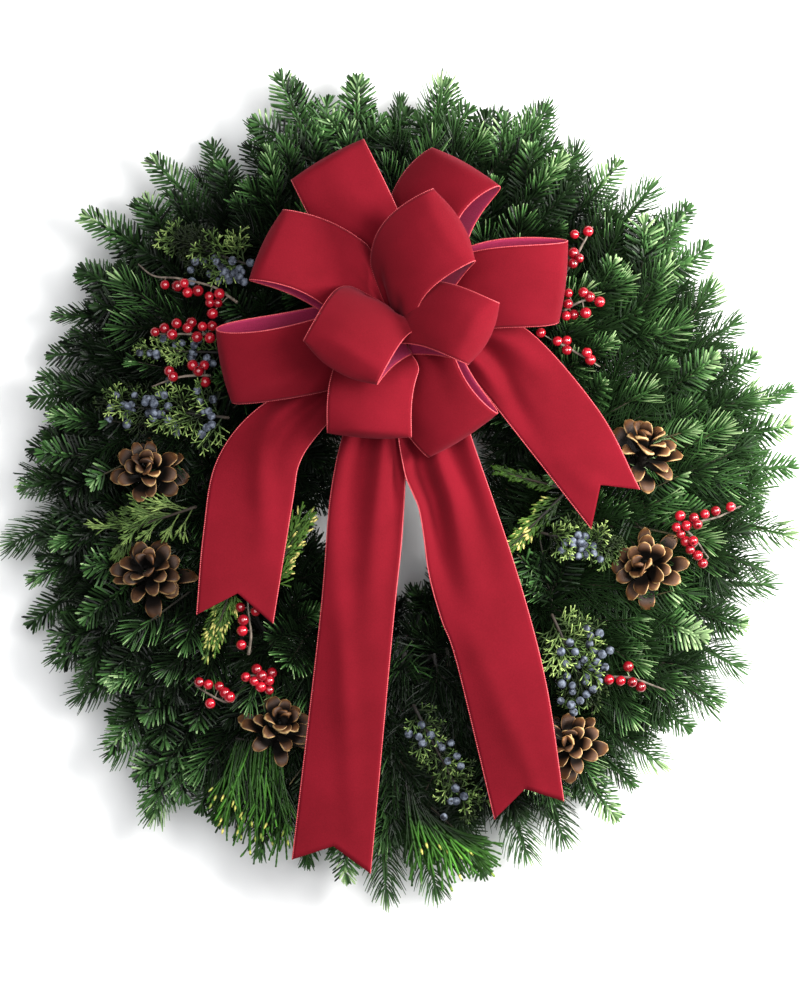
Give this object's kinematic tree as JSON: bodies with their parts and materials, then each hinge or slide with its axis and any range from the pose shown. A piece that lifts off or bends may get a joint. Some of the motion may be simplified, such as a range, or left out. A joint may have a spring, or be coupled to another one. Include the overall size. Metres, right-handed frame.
{
  "type": "fresh evergreen wreath",
  "caption": "Round fresh wreath of mixed evergreens with pine cones, red berries and a large red velvet bow with long tails, lying on its back.",
  "frame": {"origin": "centre of the wreath's open middle, on the surface that the wreath lies on", "axes": "+Z from the back of the wreath to its front, where the bow stands out; +Y from the middle to the top of the wreath, where the bow is tied; +X to the viewer's right"},
  "size_m": [0.6186, 0.642, 0.2178],
  "materials": {
    "wire": "dark green painted wire",
    "ribbon": "matte red velvet ribbon with a stitched wired edge",
    "cone": "dry open cone scales with pale rims",
    "berry": "glossy smooth berry skin",
    "blue_berry": "dusty blue berry skin with a pale bloom",
    "juniper": "scaly yellow-green shoots",
    "cedar": "flat scaly shoots with golden tips",
    "pine": "long glossy green needles",
    "fir": "flat green needles with paler undersides"
  },
  "bodies": {
    "root": {"wire_ring": "wire", "bow_tie": "ribbon", "bow_loop_a": "ribbon", "bow_loop_b": "ribbon", "bow_loop_h": "ribbon", "bow_loop_j": "ribbon", "bow_loop_i": "ribbon", "bow_loop_e": "ribbon", "bow_loop_d": "ribbon", "bow_loop_c": "ribbon", "bow_loop_f": "ribbon", "bow_loop_g": "ribbon", "bow_tail_left_short": "ribbon", "bow_tail_left_long": "ribbon", "bow_tail_right_long": "ribbon", "bow_tail_right_short": "ribbon", "pine_cone_1": "cone", "pine_cone_2": "cone", "pine_cone_3": "cone", "pine_cone_4": "cone", "pine_cone_5": "cone", "pine_cone_6": "cone", "berry_sprig_1": "berry", "berry_sprig_2": "berry", "berry_sprig_3": "berry", "berry_sprig_4": "berry", "berry_sprig_5": "berry", "berry_sprig_6": "berry", "berry_sprig_7": "berry", "berry_sprig_8": "berry", "berry_sprig_9": "berry", "berry_sprig_10": "berry", "berry_sprig_11": "berry", "juniper_spray_1": "juniper", "juniper_spray_2": "juniper", "juniper_spray_3": "juniper", "juniper_spray_4": "juniper", "juniper_spray_5": "juniper", "juniper_spray_6": "juniper", "juniper_spray_7": "juniper", "cedar_spray_1": "cedar", "cedar_spray_2": "cedar", "cedar_spray_3": "cedar", "pine_spray_1": "pine", "pine_spray_2": "pine", "fir_bunch_01": "fir", "fir_bunch_02": "fir", "fir_bunch_03": "fir", "fir_bunch_04": "fir", "fir_bunch_05": "fir", "fir_bunch_06": "fir", "fir_bunch_07": "fir", "fir_bunch_08": "fir", "fir_bunch_09": "fir", "fir_bunch_10": "fir", "fir_bunch_11": "fir", "fir_bunch_12": "fir"}
  },
  "joints": []
}
